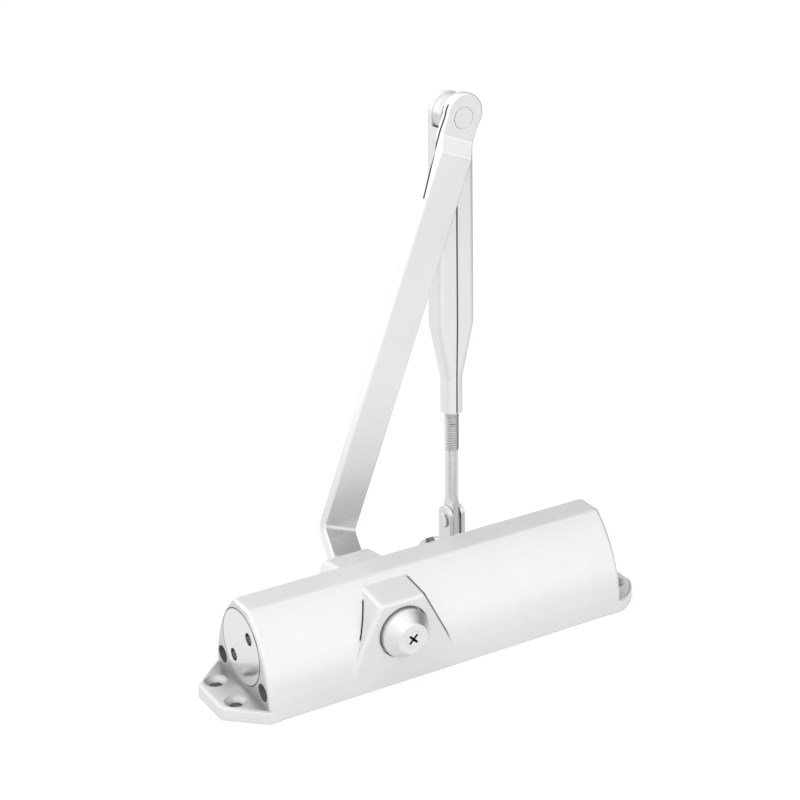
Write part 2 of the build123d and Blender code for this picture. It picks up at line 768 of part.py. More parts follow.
def main_arm():
    """Flat bar with a round eye at each end, softened edges and a square hole for the pinion."""
    reach = arm_upper_eye_back + trim_allowance
    plan = Rectangle(arm_length + arm_upper_eye_reach, arm_width, align=(Align.MIN, Align.CENTER))
    plan += Circle(arm_lower_eye_radius)
    plan += Pos(arm_length + arm_upper_eye_reach, 0) * Circle(arm_upper_eye_radius)
    necks = [vertex for vertex in plan.vertices() if abs(abs(vertex.Y) - arm_width / 2) < pick_tolerance]
    plan = fillet(necks, arm_neck_radius)
    blank = extrude(Plane.XZ * plan, amount=-reach)
    bar = extrude(arm_side_profile(), amount=arm_width, both=True) & blank
    bend_lines = bar.edges().filter_by(Axis.Z)
    rims = [edge for edge in bar.edges() if edge not in bend_lines]
    bar = fillet(rims, arm_edge_round)
    hole = square_size + 2 * square_clearance
    bar -= Rot(0, arm_rest_angle, 0) * box_between((-hole / 2, 0, -hole / 2), (hole / 2, reach, hole / 2))
    bar -= along_y(rivet_shank_diameter, 0, reach, arm_length)
    head_hole = rivet_head_diameter + 2 * rivet_head_gap
    sink = cone_along_y(
        head_hole, rivet_shank_diameter, arm_upper_eye_y, arm_upper_eye_y + rivet_head_depth, arm_length
    )
    return arm_place * (bar - sink)


def arm_washer():
    """Washer between the arm's lower eye and its screw."""
    start = arm_lower_eye_y + arm_thickness
    washer = along_y(arm_washer_diameter, start, start + arm_washer_thickness)
    hole = shaft_thread_diameter + 2 * arm_washer_hole_clearance
    washer -= along_y(hole, start - trim_allowance, start + arm_washer_thickness + trim_allowance)
    return Pos(pinion_x, 0, axis_height) * washer


def arm_screw():
    """Hexagon screw that clamps the arm on the pinion."""
    head_start = arm_lower_eye_y + arm_thickness + arm_washer_thickness
    hexagon = RegularPolygon(arm_screw_hex / 2, 6, major_radius=False)
    head = Pos(0, head_start, 0) * extrude(Plane.XZ * hexagon, amount=-arm_screw_head_height)
    screw = head + along_y(arm_screw_diameter, head_start - arm_screw_length, head_start)
    return Pos(pinion_x, 0, axis_height) * screw


# Elbow

def elbow_rivet():
    """Rivet through the arm, the spacer and the forearm, flush in front and domed behind."""
    head_end = arm_upper_eye_y + rivet_head_depth
    rivet = cone_along_y(rivet_head_diameter, rivet_shank_diameter, arm_upper_eye_y, head_end)
    rivet += along_y(rivet_shank_diameter, head_end, rivet_tail_y)
    tail_end = rivet_tail_y + rivet_tail_height
    tail = cone_along_y(rivet_tail_diameter, rivet_tail_end_diameter, rivet_tail_y, tail_end)
    outer_edge = tail.edges().filter_by(GeomType.CIRCLE).sort_by(Axis.Y)[-1]
    rivet += fillet(outer_edge, rivet_tail_round)
    return Pos(elbow_x, 0, elbow_z) * rivet


def elbow_spacer():
    """Round spacer between the arm's upper eye and the forearm."""
    start = arm_upper_eye_back
    spacer = along_y(spacer_diameter, start, start + spacer_length)
    spacer -= along_y(rivet_shank_diameter, start - trim_allowance, start + spacer_length + trim_allowance)
    return Pos(elbow_x, 0, elbow_z) * spacer


def elbow_washer():
    """Washer under the rivet's tail."""
    start = rivet_tail_y - elbow_washer_thickness
    washer = along_y(elbow_washer_diameter, start, rivet_tail_y)
    washer -= along_y(rivet_shank_diameter, start - trim_allowance, rivet_tail_y + trim_allowance)
    return Pos(elbow_x, 0, elbow_z) * washer


# Forearm

def sleeve_shape(inset, extra):
    """Sleeve's solid shape down from the elbow, drawn in by an inset and run past its ends."""
    top_z = -sleeve_top_below_elbow + extra
    mid_z = -sleeve_mid_below_elbow
    tube_z = -sleeve_tube_top_below_elbow
    end_z = -sleeve_end_below_elbow - extra
    corner = sleeve_corner_radius - inset
    tube = sleeve_tube_diameter - 2 * inset
    tube_corner = sleeve_tube_corner_radius - inset
    top = RectangleRounded(sleeve_top_width - 2 * inset, sleeve_top_depth - 2 * inset, corner)
    middle = RectangleRounded(sleeve_mid_width - 2 * inset, sleeve_mid_depth - 2 * inset, corner)
    round_end = RectangleRounded(tube, tube, tube_corner)
    upper = loft([Pos(0, 0, mid_z) * middle, Pos(0, 0, top_z) * top], ruled=True)
    taper = loft([Pos(0, 0, tube_z) * round_end, Pos(0, 0, mid_z) * middle], ruled=True)
    lower = extrude(Pos(0, 0, end_z) * round_end, amount=tube_z - end_z)
    return upper, taper, lower


def forearm():
    """Folded sleeve with an open seam down its front, and its eye plate behind the spacer."""
    upper, taper, lower = sleeve_shape(0, 0)
    sleeve = upper + taper + lower
    inner_upper, inner_taper, _ = sleeve_shape(sleeve_wall, 0)
    sleeve -= inner_upper
    sleeve -= inner_taper
    rod_hole = rod_thread_diameter + 2 * rod_clearance
    bore_top = -sleeve_mid_below_elbow
    bore_end = -sleeve_end_below_elbow - trim_allowance
    sleeve -= Pos(0, 0, (bore_top + bore_end) / 2) * Cylinder(rod_hole / 2, bore_top - bore_end)
    half_seam = sleeve_seam_width / 2
    sleeve -= box_between((-half_seam, -sleeve_mid_depth, bore_end), (half_seam, 0, 0))
    scallop = spacer_diameter + 2 * sleeve_spacer_gap
    sleeve -= along_y(scallop, -sleeve_mid_depth, eye_plate_front - forearm_y)
    plate_front = eye_plate_front - forearm_y
    plate_back = eye_plate_back - forearm_y
    plan = Circle(sleeve_top_width / 2)
    plan += Rectangle(sleeve_top_width, eye_plate_strap, align=(Align.CENTER, Align.MAX))
    plate = extrude(Plane.XZ.offset(-plate_front) * plan, amount=-eye_plate_thickness)
    rear_rim = [
        edge
        for edge in plate.edges()
        if edge.center().Y > plate_back - pick_tolerance
        and edge.center().Z > pick_tolerance - eye_plate_strap
    ]
    sleeve += fillet(rear_rim, sleeve_corner_radius)
    hole = rivet_shank_diameter + 2 * rivet_running_clearance
    sleeve -= along_y(hole, plate_front - trim_allowance, plate_back + trim_allowance)
    return Pos(elbow_x, forearm_y, elbow_z) * sleeve


# Adjusting rod

def rod_thread(length):
    """Helical thread on its core, from its lower end upwards."""
    crest = rod_thread_diameter / 2
    foot_radius = crest - rod_thread_depth - rod_thread_sink
    low = (Align.CENTER, Align.CENTER, Align.MIN)
    spare = 2 * rod_thread_pitch
    core = Pos(0, 0, -spare) * Cylinder(crest - rod_thread_depth, length + 2 * spare, align=low)
    half_foot = rod_thread_pitch * rod_thread_foot_share / 2
    half_crest = rod_thread_pitch * rod_thread_crest_share / 2
    height = crest - foot_radius
    ridge = make_face(
        Polyline((0, -half_foot), (height, -half_crest), (height, half_crest), (0, half_foot), close=True)
    )
    section = Plane(origin=(foot_radius, 0, 0), x_dir=(1, 0, 0), z_dir=(0, 1, 0)) * ridge
    path = Helix(rod_thread_pitch, length + spare, foot_radius)
    thread = core + Pos(0, 0, -rod_thread_pitch) * sweep(section, path=path, is_frenet=True)
    return thread & Cylinder(crest + trim_allowance, length, align=low)


def adjusting_rod():
    """Threaded rod with a plain shank and a flattened eye for the shoe's rivet."""
    pivot_z = -shoe_pivot_below_elbow
    thread_z = -rod_thread_end_below_elbow
    flat_top_z = pivot_z + rod_flat_length
    rod = Pos(0, 0, thread_z) * rod_thread(rod_thread_end_below_elbow - rod_top_below_elbow)
    low = (Align.CENTER, Align.CENTER, Align.MIN)
    shank = Cylinder(rod_shank_diameter / 2, thread_z - flat_top_z, align=low)
    rod += Pos(0, 0, flat_top_z) * shank
    neck_z = pivot_z + rod_flat_neck_height
    neck = RectangleRounded(rod_flat_thickness, rod_flat_neck_width, rod_flat_corner)
    shank_end = Circle(rod_shank_diameter / 2)
    rod += loft([Pos(0, 0, neck_z) * neck, Pos(0, 0, flat_top_z) * shank_end])
    tail_z = pivot_z - rod_flat_tail
    side = Pos(0, tail_z) * Circle(rod_flat_radius)
    side += make_face(
        Polyline(
            (-rod_flat_radius, tail_z),
            (rod_flat_radius, tail_z),
            (rod_flat_radius, pivot_z),
            (rod_flat_neck_width / 2, neck_z),
            (-rod_flat_neck_width / 2, neck_z),
            (-rod_flat_radius, pivot_z),
            close=True,
        )
    )
    rod += extrude(Plane.YZ * side, amount=rod_flat_thickness / 2, both=True)
    hole = shoe_rivet_diameter + 2 * shoe_rivet_clearance
    rod -= along_x(hole, -rod_flat_thickness, rod_flat_thickness, 0, pivot_z)
    return Pos(elbow_x, forearm_y, elbow_z) * rod


# Shoe

def shoe_ear_section():
    """Ear outline with a rounded top and a base that spreads onto the plate."""
    half = shoe_ear_width / 2
    flare = shoe_ear_flare_width / 2
    plate_top = -shoe_pivot_height
    flare_top = plate_top + shoe_ear_flare_height
    top = shoe_ear_above_pivot
    outline = make_face(
        Polyline(
            (-flare, plate_top - shoe_plate_thickness / 2),
            (flare, plate_top - shoe_plate_thickness / 2),
            (flare, plate_top + shoe_ear_foot_height),
            (half, flare_top),
            (half, top),
            (-half, top),
            (-half, flare_top),
            (-flare, plate_top + shoe_ear_foot_height),
            close=True,
        )
    )
    top_corners = outline.vertices().sort_by(Axis.Y)[-2:]
    return fillet(top_corners, shoe_ear_corner)


def shoe():
    """Base plate with two ears for the rod's rivet."""
    plate_z = -shoe_pivot_height - shoe_plate_thickness
    plate = SlotOverall(shoe_plate_length, shoe_plate_width, rotation=90)
    bracket = extrude(Pos(0, 0, plate_z) * plate, amount=shoe_plate_thickness)
    ear = shoe_ear_section()
    for side in (-1, 1):
        inner_x = side * shoe_ear_gap / 2
        bracket += extrude(Plane.YZ.offset(inner_x) * ear, amount=side * shoe_ear_thickness)
        y = side * shoe_hole_spacing / 2
        bracket -= Pos(0, y, plate_z) * Cylinder(shoe_hole_diameter / 2, 4 * shoe_plate_thickness)
        sink_depth = (shoe_countersink_diameter - shoe_hole_diameter) / 2
        sink = Cone(shoe_hole_diameter / 2, shoe_countersink_diameter / 2, sink_depth)
        bracket -= Pos(0, y, -shoe_pivot_height - sink_depth / 2) * sink
    outer = shoe_ear_gap / 2 + shoe_ear_thickness
    bracket -= along_x(shoe_rivet_diameter, -outer - trim_allowance, outer + trim_allowance)
    return Pos(elbow_x, forearm_y, shoe_pivot_z) * bracket


def shoe_rivet():
    """Rivet through both ears, with a low head on each side."""
    outer = shoe_ear_gap / 2 + shoe_ear_thickness
    rivet = along_x(shoe_rivet_diameter, -outer, outer)
    for side in (-1, 1):
        head = along_x(shoe_rivet_head_diameter, side * outer, side * (outer + shoe_rivet_head_height))
        rim = head.edges().filter_by(GeomType.CIRCLE).sort_by(Axis.X)
        rivet += fillet(rim[-1] if side > 0 else rim[0], shoe_rivet_head_round)
    return Pos(elbow_x, forearm_y, shoe_pivot_z) * rivet


pieces = {
    "housing": housing(),
    "left_end_plug": end_plug(-1),
    "right_end_plug": end_plug(1),
    "left_plug_seal": plug_seal(-1),
    "right_plug_seal": plug_seal(1),
    "sweep_valve": valve_screw(-1),
    "latch_valve": valve_screw(1),
    "sweep_valve_seal": valve_seal(-1),
    "latch_valve_seal": valve_seal(1),
    "pinion": pinion(),
    "piston": piston(),
    "piston_check_ball": check_ball(),
    "check_ball_retainer": check_ball_retainer(),
    "main_spring": main_spring(),
    "spring_seat": spring_seat(),
    "front_bearing_cap": bearing_cap(-1),
    "rear_bearing_cap": bearing_cap(1),
    "front_bearing": bearing(-1),
    "rear_bearing": bearing(1),
    "front_shaft_seal": shaft_seal(-1),
    "rear_shaft_seal": shaft_seal(1),
    "pinion_cap": pinion_cap(),
    "cap_screw": cap_screw(),
    "main_arm": main_arm(),
    "arm_washer": arm_washer(),
    "arm_screw": arm_screw(),
    "elbow_rivet": elbow_rivet(),
    "elbow_spacer": elbow_spacer(),
    "elbow_washer": elbow_washer(),
    "forearm": forearm(),
    "adjusting_rod": adjusting_rod(),
    "shoe": shoe(),
    "shoe_rivet": shoe_rivet(),
}

os.makedirs("parts", exist_ok=True)
for name, shape in pieces.items():
    export_step(shape, f"parts/{name}.step")
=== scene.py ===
import math

import bpy
from mathutils import Matrix, Vector

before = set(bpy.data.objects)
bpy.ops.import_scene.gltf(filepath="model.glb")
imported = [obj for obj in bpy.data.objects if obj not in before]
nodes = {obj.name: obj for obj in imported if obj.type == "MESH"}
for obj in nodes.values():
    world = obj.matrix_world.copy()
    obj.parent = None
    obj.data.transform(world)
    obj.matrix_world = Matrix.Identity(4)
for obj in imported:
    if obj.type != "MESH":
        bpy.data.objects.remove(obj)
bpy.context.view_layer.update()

MM = 0.001

# Sizes of the CAD model, in metres
PINION_X = -29.0 * MM
AXIS_Z = 28.5 * MM
HALF_LENGTH = 104.0 * MM
FOOT_HOLE_X = 113.5 * MM
FOOT_HOLE_Y = 11.0 * MM
VALVE_Y = 21.7 * MM
VALVE_Z = 13.8 * MM
VALVE_MOUTH_RADIUS = 4.75 * MM
VALVE_THREAD_PITCH = 1.0 * MM
SIDE_BOW_Y = -33.96 * MM
SIDE_BOW_Z = 3.53 * MM
SIDE_BOW_RADIUS = 63.6 * MM
CAP_FACE_RADIUS = 8.0 * MM
ARM_REST_ANGLE = math.radians(69.0)
SHOE_PIVOT_X = 58.478 * MM
SHOE_PIVOT_Y = 65.95 * MM
SHOE_PIVOT_Z = 27.487 * MM
SHOE_HOLE_FROM_PIVOT = 19.0 * MM

# Planes of a boss: x of the side facets and z of the top at the origin, and their slopes
BOSS_FACET_LEAN = 0.5095
BOSS_FACET_TAPER = 0.0785
BOSS_LEFT_X = -67.54 * MM
BOSS_RIGHT_X = 9.54 * MM
BOSS_TOP_SLOPE = 0.1405
BOSS_TOP_Z = 50.12 * MM


# Node helpers

def new_material(name):
    """An empty node material with its Principled shader wired to the output."""
    mat = bpy.data.materials.new(name)
    mat.use_nodes = True
    tree = mat.node_tree
    tree.nodes.clear()
    out = tree.nodes.new("ShaderNodeOutputMaterial")
    shader = tree.nodes.new("ShaderNodeBsdfPrincipled")
    tree.links.new(shader.outputs["BSDF"], out.inputs["Surface"])
    return mat, tree, shader


def object_point(tree):
    """Object coordinates in metres."""
    return tree.nodes.new("ShaderNodeTexCoord").outputs["Object"]


def axes_of(tree, point):
    """The three coordinates of a point as separate values."""
    split = tree.nodes.new("ShaderNodeSeparateXYZ")
    tree.links.new(point, split.inputs[0])
    return split.outputs[0], split.outputs[1], split.outputs[2]


def feed(tree, socket, value):
    """Give a socket a number or the output of another node."""
    if isinstance(value, (int, float)):
        socket.default_value = value
    else:
        tree.links.new(value, socket)


def along_x(tree, value):
    """A point on the X axis at a value."""
    node = tree.nodes.new("ShaderNodeCombineXYZ")
    feed(tree, node.inputs[0], value)
    return node.outputs[0]


def noise(tree, point, scale, detail, rough):
    """Noise value over a point."""
    node = tree.nodes.new("ShaderNodeTexNoise")
    node.inputs["Scale"].default_value = scale
    node.inputs["Detail"].default_value = detail
    node.inputs["Roughness"].default_value = rough
    tree.links.new(point, node.inputs["Vector"])
    return node.outputs["Fac"]


def remap(tree, value, low, high, from_low=0.0, from_high=1.0):
    """A value spread from one range onto another, clamped."""
    node = tree.nodes.new("ShaderNodeMapRange")
    node.inputs["From Min"].default_value = from_low
    node.inputs["From Max"].default_value = from_high
    node.inputs["To Min"].default_value = low
    node.inputs["To Max"].default_value = high
    tree.links.new(value, node.inputs["Value"])
    return node.outputs["Result"]


def rise(tree, value, start, end):
    """0 up to a start, growing to 1 at an end."""
    return remap(tree, value, 0.0, 1.0, start, end)


def fall(tree, value, start, end):
    """1 up to a start, sinking to 0 at an end."""
    return remap(tree, value, 1.0, 0.0, start, end)


def maths(tree, operation, first, second=None):
    """A math node of one or two inputs, each a socket or a number."""
    node = tree.nodes.new("ShaderNodeMath")
    node.operation = operation
    feed(tree, node.inputs[0], first)
    if second is not None:
        feed(tree, node.inputs[1], second)
    return node.outputs["Value"]


def product(tree, first, *others):
    """Several values multiplied."""
    for other in others:
        first = maths(tree, "MULTIPLY", first, other)
    return first


def distance_from(tree, first, first_centre, second, second_centre):
    """Distance from an axis, given two coordinates and the axis's place in them."""
    a = maths(tree, "SUBTRACT", first, first_centre)
    b = maths(tree, "SUBTRACT", second, second_centre)
    return maths(tree, "SQRT", maths(tree, "ADD", product(tree, a, a), product(tree, b, b)))


def within(tree, value, low, high, soft):
    """1 where a value lies between two bounds, falling to 0 over a soft width outside them."""
    return product(tree, rise(tree, value, low - soft, low), fall(tree, value, high, high + soft))


def below(tree, value, high, soft):
    """1 where a value is below a bound, falling to 0 over a soft width above it."""
    return fall(tree, value, high, high + soft)


def ramp(tree, value, stops):
    """Colours along a value, as pairs of place and colour."""
    node = tree.nodes.new("ShaderNodeValToRGB")
    elements = node.color_ramp.elements
    while len(elements) < len(stops):
        elements.new(0.5)
    for element, (place, colour) in zip(elements, stops):
        element.position = place
        element.color = (*colour, 1.0)
    tree.links.new(value, node.inputs["Fac"])
    return node.outputs["Color"]


def bump(tree, height, distance, strength, normal=None):
    """A bump from a height over a distance in metres."""
    node = tree.nodes.new("ShaderNodeBump")
    node.inputs["Distance"].default_value = distance
    node.inputs["Strength"].default_value = strength
    tree.links.new(height, node.inputs["Height"])
    if normal is not None:
        tree.links.new(normal, node.inputs["Normal"])
    return node.outputs["Normal"]


def rounded(tree, radius):
    """A normal that softens edges and inner corners over a radius."""
    node = tree.nodes.new("ShaderNodeBevel")
    node.samples = 6
    node.inputs["Radius"].default_value = radius
    return node.outputs["Normal"]


def times(tree, colour, factor):
    """A colour darkened by a factor between 0 and 1."""
    node = tree.nodes.new("ShaderNodeVectorMath")
    node.operation = "SCALE"
    tree.links.new(colour, node.inputs[0])
    tree.links.new(factor, node.inputs["Scale"])
    return node.outputs[0]


def hollow_shade(tree, distance, darkest):
    """A factor that falls to its darkest in a piece's own hollows, within a distance."""
    node = tree.nodes.new("ShaderNodeAmbientOcclusion")
    node.samples = 8
    node.only_local = True
    node.inputs["Distance"].default_value = distance
    closed, clear = 0.25, 0.95
    return remap(tree, node.outputs["AO"], darkest, 1.0, closed, clear)


def grey(level, tint=(1.0, 1.0, 1.0)):
    """A colour of one level, slightly tinted."""
    return tuple(level * share for share in tint)


def darkened(tree, masks):
    """One factor from pairs of mask and level: the level where the mask is 1."""
    parts = [remap(tree, mask, 1.0, level) for mask, level in masks]
    return product(tree, *parts)


# Places on the body darkened as painted shade

def valve_mouth_thread_shade(tree, across_x, across_y, z):
    """Inside the threaded mouths over the regulating screws: partly the bare thread's own darker tone,
    partly painted shade that deepens past the rim, in rings like the thread's turns.
    """
    from_axis = distance_from(tree, across_y, VALVE_Y, z, VALVE_Z)
    depth = maths(tree, "SUBTRACT", HALF_LENGTH, across_x)
    inside = within(tree, from_axis, 0.0, VALVE_MOUTH_RADIUS, 0.1 * MM)
    sunk = rise(tree, depth, 0.25 * MM, 0.7 * MM)
    turns = maths(tree, "SINE", product(tree, across_x, 2 * math.pi / VALVE_THREAD_PITCH))
    crest, root = 0.35, 1.0
    thread = remap(tree, turns, crest, root, 0.2, 0.9)
    return product(tree, inside, sunk, thread)


def foot_hole_shade(tree, across_x, across_y, z):
    """Painted shade in the lower part of each foot's countersunk holes."""
    from_hole = distance_from(tree, across_x, FOOT_HOLE_X, across_y, FOOT_HOLE_Y)
    inside = within(tree, from_hole, 0.0, 3.9 * MM, 0.4 * MM)
    return product(tree, inside, fall(tree, z, 5.2 * MM, 6.4 * MM))


def facet_lean(tree, across_y, z):
    """How far each side facet of a boss leans in at a height and a reach."""
    by_height = product(tree, z, BOSS_FACET_LEAN)
    return maths(tree, "ADD", by_height, product(tree, across_y, BOSS_FACET_TAPER))


def boss_fold_shadow(tree, x, across_y, z):
    """A painted shadow line in the sharp fold where a boss's left facet meets the bowed side."""
    bow = distance_from(tree, across_y, SIDE_BOW_Y, z, SIDE_BOW_Z)
    off_side = maths(tree, "ABSOLUTE", maths(tree, "SUBTRACT", bow, SIDE_BOW_RADIUS))
    from_facet = maths(tree, "SUBTRACT", x, facet_lean(tree, across_y, z))
    off_facet = maths(tree, "ABSOLUTE", maths(tree, "SUBTRACT", from_facet, BOSS_LEFT_X))
    off_fold = maths(tree, "MAXIMUM", off_side, off_facet)
    line = below(tree, off_fold, 0.42 * MM, 0.16 * MM)
    return product(tree, line, within(tree, z, 28.4 * MM, 43.6 * MM, 0.8 * MM))


def boss_right_edge_shade(tree, x, y, across_y, z):
    """Painted shade along the outline of the front boss's right facet."""
    from_facet = maths(tree, "ADD", x, facet_lean(tree, across_y, z))
    off_facet = maths(tree, "SUBTRACT", from_facet, BOSS_RIGHT_X)
    near_facet = within(tree, off_facet, -0.8 * MM, 1.2 * MM, 1.0 * MM)
    height = maths(tree, "ADD", product(tree, across_y, BOSS_TOP_SLOPE), z)
    off_top = maths(tree, "SUBTRACT", BOSS_TOP_Z, height)
    at_front = rise(tree, across_y, 26.0 * MM, 27.6 * MM)
    outer = maths(tree, "MAXIMUM", at_front, fall(tree, off_top, 1.4 * MM, 2.8 * MM))
    bow = distance_from(tree, across_y, SIDE_BOW_Y, z, SIDE_BOW_Z)
    off_side = maths(tree, "SUBTRACT", bow, SIDE_BOW_RADIUS)
    proud = rise(tree, off_side, 0.3 * MM, 0.9 * MM)
    in_front = fall(tree, y, -2.0 * MM, -1.0 * MM)
    return product(tree, near_facet, outer, proud, in_front)


def left_foot_top_shade(tree, x, across_x, z):
    """Painted shade on the left foot's upper face, darkest next to the end face."""
    outside = rise(tree, across_x, 103.0 * MM, 104.2 * MM)
    tip_share = 0.25
    fading = remap(tree, across_x, 1.0, tip_share, 106.0 * MM, 121.0 * MM)
    at_left = fall(tree, x, -1.0 * MM, 1.0 * MM)
    return product(tree, outside, fading, at_left, within(tree, z, 6.4 * MM, 7.4 * MM, 0.4 * MM))


def end_face_shade(tree, across_x, z):
    """Painted shade on the two flat end faces, above the feet."""
    at_end = rise(tree, across_x, 103.6 * MM, 103.9 * MM)
    return product(tree, at_end, rise(tree, z, 8.0 * MM, 9.0 * MM))


def body_painted_shade(tree, point):
    """All places of the body darkened as painted shade, each with its level; the valve mouths are
    partly their bare thread's own dark.
    """
    x, y, z = axes_of(tree, point)
    across_x = maths(tree, "ABSOLUTE", x)
    across_y = maths(tree, "ABSOLUTE", y)
    return [
        (valve_mouth_thread_shade(tree, across_x, across_y, z), 0.70),
        (foot_hole_shade(tree, across_x, across_y, z), 0.95),
        (boss_fold_shadow(tree, x, across_y, z), 0.02),
        (boss_right_edge_shade(tree, x, y, across_y, z), 0.18),
        (left_foot_top_shade(tree, x, across_x, z), 0.68),
        (end_face_shade(tree, across_x, z), 0.86),
    ]


# Places on the other pieces darkened as painted shade

def plug_painted_shade(tree, point):
    """Painted shade in the plug's spanner holes, and a painted shadow line round its face."""
    x, y, z = axes_of(tree, point)
    depth = maths(tree, "SUBTRACT", HALF_LENGTH, maths(tree, "ABSOLUTE", x))
    from_axis = distance_from(tree, y, 0.0, z, AXIS_Z)
    inside = within(tree, from_axis, 0.0, 16.5 * MM, 0.2 * MM)
    holes = product(tree, inside, rise(tree, depth, 0.1 * MM, 0.5 * MM))
    rim = rise(tree, from_axis, 19.35 * MM, 19.55 * MM)
    return [(holes, 0.82), (rim, 0.02)]


def cap_painted_shade(tree, point):
    """Painted shade on the cap: in the cross of its screw, over its cone, and deepest on the cone's
    shaded side.
    """
    x, y, z = axes_of(tree, point)
    from_axis = distance_from(tree, x, PINION_X, z, AXIS_Z)
    in_middle = within(tree, from_axis, 0.0, 3.4 * MM, 0.1 * MM)
    cross = product(tree, in_middle, rise(tree, y, -38.3 * MM, -37.9 * MM))
    on_cone = rise(tree, from_axis, CAP_FACE_RADIUS, CAP_FACE_RADIUS + 0.3 * MM)
    shade_x, shade_z = PINION_X + 8.6 * MM, AXIS_Z + 6.4 * MM
    from_shade = distance_from(tree, x, shade_x, z, shade_z)
    shade = product(tree, fall(tree, from_shade, 1.0 * MM, 6.0 * MM), on_cone)
    return [(cross, 0.03), (shade, 0.66), (on_cone, 0.93)]


def edge_reflection_line(tree, x, y, z):
    """A painted dark reflection: a line down the arm's left edge, from the elbow past the bend."""
    dx = maths(tree, "SUBTRACT", x, PINION_X)
    dz = maths(tree, "SUBTRACT", z, AXIS_Z)
    cosine, sine = math.cos(ARM_REST_ANGLE), math.sin(ARM_REST_ANGLE)
    along = maths(tree, "ADD", product(tree, dx, cosine), product(tree, dz, sine))
    across = maths(tree, "SUBTRACT", product(tree, dz, cosine), product(tree, dx, sine))
    share = rise(tree, along, 200.0 * MM, 250.0 * MM)
    places = (0.0, 0.2, 0.4, 0.55, 0.7, 0.84, 1.0)
    depths = (51.5, 52.7, 53.9, 54.9, 55.4, 55.0, 54.7)
    nearest, spread = 50.0, 8.0
    levels = [grey((line_depth - nearest) / spread) for line_depth in depths]
    depth = ramp(tree, share, list(zip(places, levels)))
    line_y = maths(tree, "ADD", product(tree, depth, spread * MM), nearest * MM)
    off_line = maths(tree, "ABSOLUTE", maths(tree, "SUBTRACT", y, line_y))
    on_edge = rise(tree, across, 9.2 * MM, 9.5 * MM)
    stretch = within(tree, along, 200.4 * MM, 248.2 * MM, 0.6 * MM)
    return product(tree, below(tree, off_line, 0.62 * MM, 0.2 * MM), on_edge, stretch)


def arm_painted_light(tree, point):
    """A painted dark reflection down the arm's edge, and painted shade making the bar darker, most of
    all down to the lower bend.
    """
    x, y, z = axes_of(tree, point)
    above_bend = rise(tree, z, 50.0 * MM, 54.0 * MM)
    lower = product(tree, above_bend, fall(tree, z, 62.0 * MM, 126.0 * MM))
    bar = fall(tree, z, 205.0 * MM, 238.0 * MM)
    return [(edge_reflection_line(tree, x, y, z), 0.02), (lower, 0.86), (bar, 0.94)]


def shoe_painted_shade(tree, point):
    """Painted shade inside the shoe's screw holes, between its ears and beside its rivet's head."""
    x, y, z = axes_of(tree, point)
    out_y = maths(tree, "ABSOLUTE", maths(tree, "SUBTRACT", y, SHOE_PIVOT_Y))
    from_hole = distance_from(tree, x, SHOE_PIVOT_X, out_y, SHOE_HOLE_FROM_PIVOT)
    in_hole = within(tree, from_hole, 0.0, 2.4 * MM, 0.5 * MM)
    holes = product(tree, in_hole, fall(tree, z, 3.9 * MM, 4.4 * MM))
    off_middle = maths(tree, "ABSOLUTE", maths(tree, "SUBTRACT", x, SHOE_PIVOT_X))
    between = below(tree, off_middle, 2.5 * MM, 0.1 * MM)
    gap = product(tree, between, fall(tree, z, 33.5 * MM, 35.5 * MM))
    from_rivet = distance_from(tree, y, SHOE_PIVOT_Y, z, SHOE_PIVOT_Z)
    in_front = fall(tree, y, SHOE_PIVOT_Y - 2.2 * MM, SHOE_PIVOT_Y + 0.5 * MM)
    crescent = product(tree, within(tree, from_rivet, 3.9 * MM, 4.1 * MM, 0.25 * MM), in_front)
    return [(holes, 0.20), (gap, 0.25), (crescent, 0.40)]


def rod_painted_shade(tree, point):
    """Painted shade on the rod's flattened end, darker toward the shoe's right ear."""
    x, _, z = axes_of(tree, point)
    off_middle = maths(tree, "SUBTRACT", x, SHOE_PIVOT_X)
    at_right = rise(tree, off_middle, 0.9 * MM, 1.3 * MM)
    return [(product(tree, at_right, fall(tree, z, 34.6 * MM, 36.0 * MM)), 0.30)]


# Materials

def blended(tree, first, second, first_share):
    """Two values mixed by a fixed share of the first."""
    rest = product(tree, second, 1.0 - first_share)
    return maths(tree, "ADD", product(tree, first, first_share), rest)


def silver_coat(
    name,
    level,
    metallic,
    roughness,
    corner,
    marks=None,
    crease=(6.0 * MM, 0.72),
    end_crease=None,
):
    """Satin silver coating: fine metal flake, a slight orange peel and faint clouding, darkened by
    painted shade in its hollows and at any given places.
    """
    mat, tree, shader = new_material(name)
    point = object_point(tree)
    flake = noise(tree, point, scale=5200.0, detail=1.0, rough=0.6)
    cloud = noise(tree, point, scale=38.0, detail=3.0, rough=0.55)
    peel = noise(tree, point, scale=620.0, detail=2.0, rough=0.45)
    cool = (0.997, 1.0, 1.002)
    stops = [
        (0.28, grey(level * 0.93, cool)),
        (0.5, grey(level, cool)),
        (0.74, grey(level * 1.04, cool)),
    ]
    colour = ramp(tree, blended(tree, flake, cloud, 0.62), stops)
    factor = hollow_shade(tree, *crease)
    if end_crease is not None:
        factor = product(tree, factor, end_shade(tree, point, *end_crease))
    if marks is not None:
        factor = product(tree, factor, darkened(tree, marks(tree, point)))
    tree.links.new(times(tree, colour, factor), shader.inputs["Base Color"])
    shader.inputs["Metallic"].default_value = metallic
    rough = remap(tree, blended(tree, cloud, flake, 0.7), roughness - 0.05, roughness + 0.05, 0.3, 0.7)
    tree.links.new(rough, shader.inputs["Roughness"])
    shader.inputs["Coat Weight"].default_value = 0.12
    shader.inputs["Coat Roughness"].default_value = 0.2
    normal = bump(tree, peel, distance=0.012 * MM, strength=0.5, normal=rounded(tree, corner))
    normal = bump(tree, flake, distance=0.004 * MM, strength=0.5, normal=normal)
    tree.links.new(normal, shader.inputs["Normal"])
    return mat


